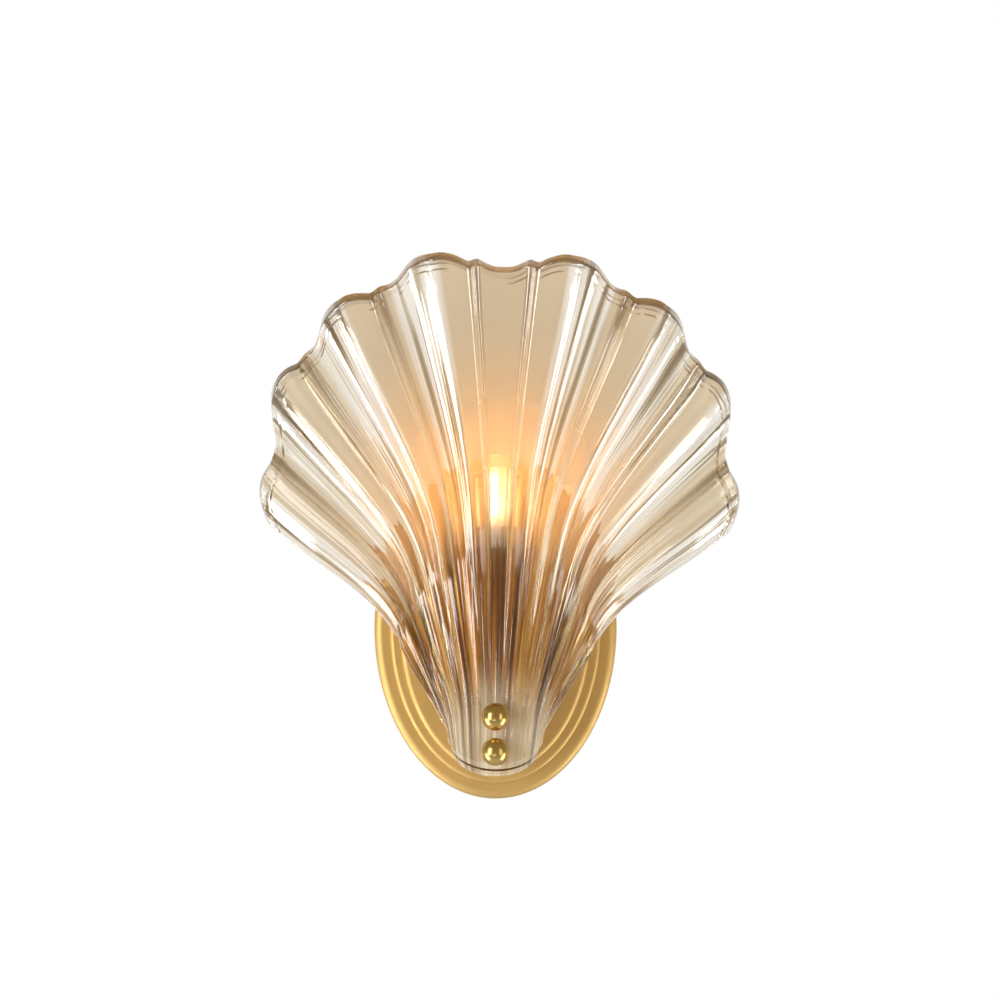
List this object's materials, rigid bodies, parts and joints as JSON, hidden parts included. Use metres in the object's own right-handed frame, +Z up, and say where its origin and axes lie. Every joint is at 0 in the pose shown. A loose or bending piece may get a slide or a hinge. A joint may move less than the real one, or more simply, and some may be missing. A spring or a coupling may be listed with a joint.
{
  "type": "shell wall sconce",
  "caption": "Wall sconce: a fluted, fan-shaped shell of thick tinted glass held by ball nuts on a brass arm, with a stepped oval wall plate and a capsule lamp behind it.",
  "frame": {"origin": "centre of the oval plate on the wall plane, midway between the two wall screws", "axes": "+Y into the wall, -Y out to the room, +Z up along the fan, +X to the right seen from the room"},
  "size_m": [0.2347, 0.1374, 0.2673],
  "materials": {
    "brushed_brass": "brushed and lacquered",
    "polished_brass": "polished",
    "zinc_steel": "zinc plated",
    "shell_glass": "fire polished, champagne tint",
    "lamp_frost": "frosted",
    "lamp_light": "warm light-giving rod",
    "lamp_foot": "white moulding",
    "porcelain": "unglazed",
    "grommet_rubber": "matt",
    "clear_washer": "clear silicone",
    "terminal_plastic": "moulded",
    "contact_brass": "bright",
    "pin_metal": "tinned",
    "wire_brown": "insulation",
    "wire_blue": "insulation",
    "wire_green_yellow": "insulation"
  },
  "bodies": {
    "mount": {"wall_bracket": "zinc_steel", "cable_grommet": "grommet_rubber", "back_plate": "brushed_brass", "plate_grub_screws": "zinc_steel", "earth_screw": "contact_brass", "earth_washer": "zinc_steel", "earth_lug": "contact_brass", "arm_earth_lug": "contact_brass", "earth_wire": "wire_green_yellow", "terminal_block": "terminal_plastic", "terminal_barrels": "contact_brass", "terminal_screws": "zinc_steel", "terminal_fixing_screw": "zinc_steel", "live_wire": "wire_brown", "neutral_wire": "wire_blue", "arm_tube": "zinc_steel", "arm_lock_washer": "zinc_steel", "arm_lock_nut": "zinc_steel", "arm_flange": "brushed_brass", "arm_sleeve": "brushed_brass", "mount_block": "brushed_brass", "holder_tube": "zinc_steel", "holder_collar": "brushed_brass", "holder_cup": "brushed_brass", "cup_lock_nut": "zinc_steel", "socket_lock_nut": "zinc_steel", "socket_body": "porcelain", "socket_contacts": "contact_brass", "glass_studs": "zinc_steel", "rear_washers": "clear_washer"},
    "lamp": {"lamp_base": "lamp_foot", "lamp_pins": "pin_metal", "lamp_glass": "lamp_frost", "lamp_glow": "lamp_light"},
    "shade": {"glass_shell": "shell_glass", "hole_sleeves": "clear_washer", "front_washers": "clear_washer"},
    "upper_nut": {"upper_ball_nut": "polished_brass"},
    "lower_nut": {"lower_ball_nut": "polished_brass"}
  },
  "joints": [
    {"name": "lamp_pull", "type": "slide", "parent": "mount", "child": "lamp", "axis": [0, 0, 1], "range_m": [0, 0.025]},
    {"name": "shade_pull", "type": "slide", "parent": "mount", "child": "shade", "axis": [0, -1, 0], "range_m": [0, 0.03]},
    {"name": "upper_nut_off", "type": "slide", "parent": "shade", "child": "upper_nut", "axis": [0, -1, 0], "range_m": [0, 0.012]},
    {"name": "lower_nut_off", "type": "slide", "parent": "shade", "child": "lower_nut", "axis": [0, -1, 0], "range_m": [0, 0.012]}
  ]
}
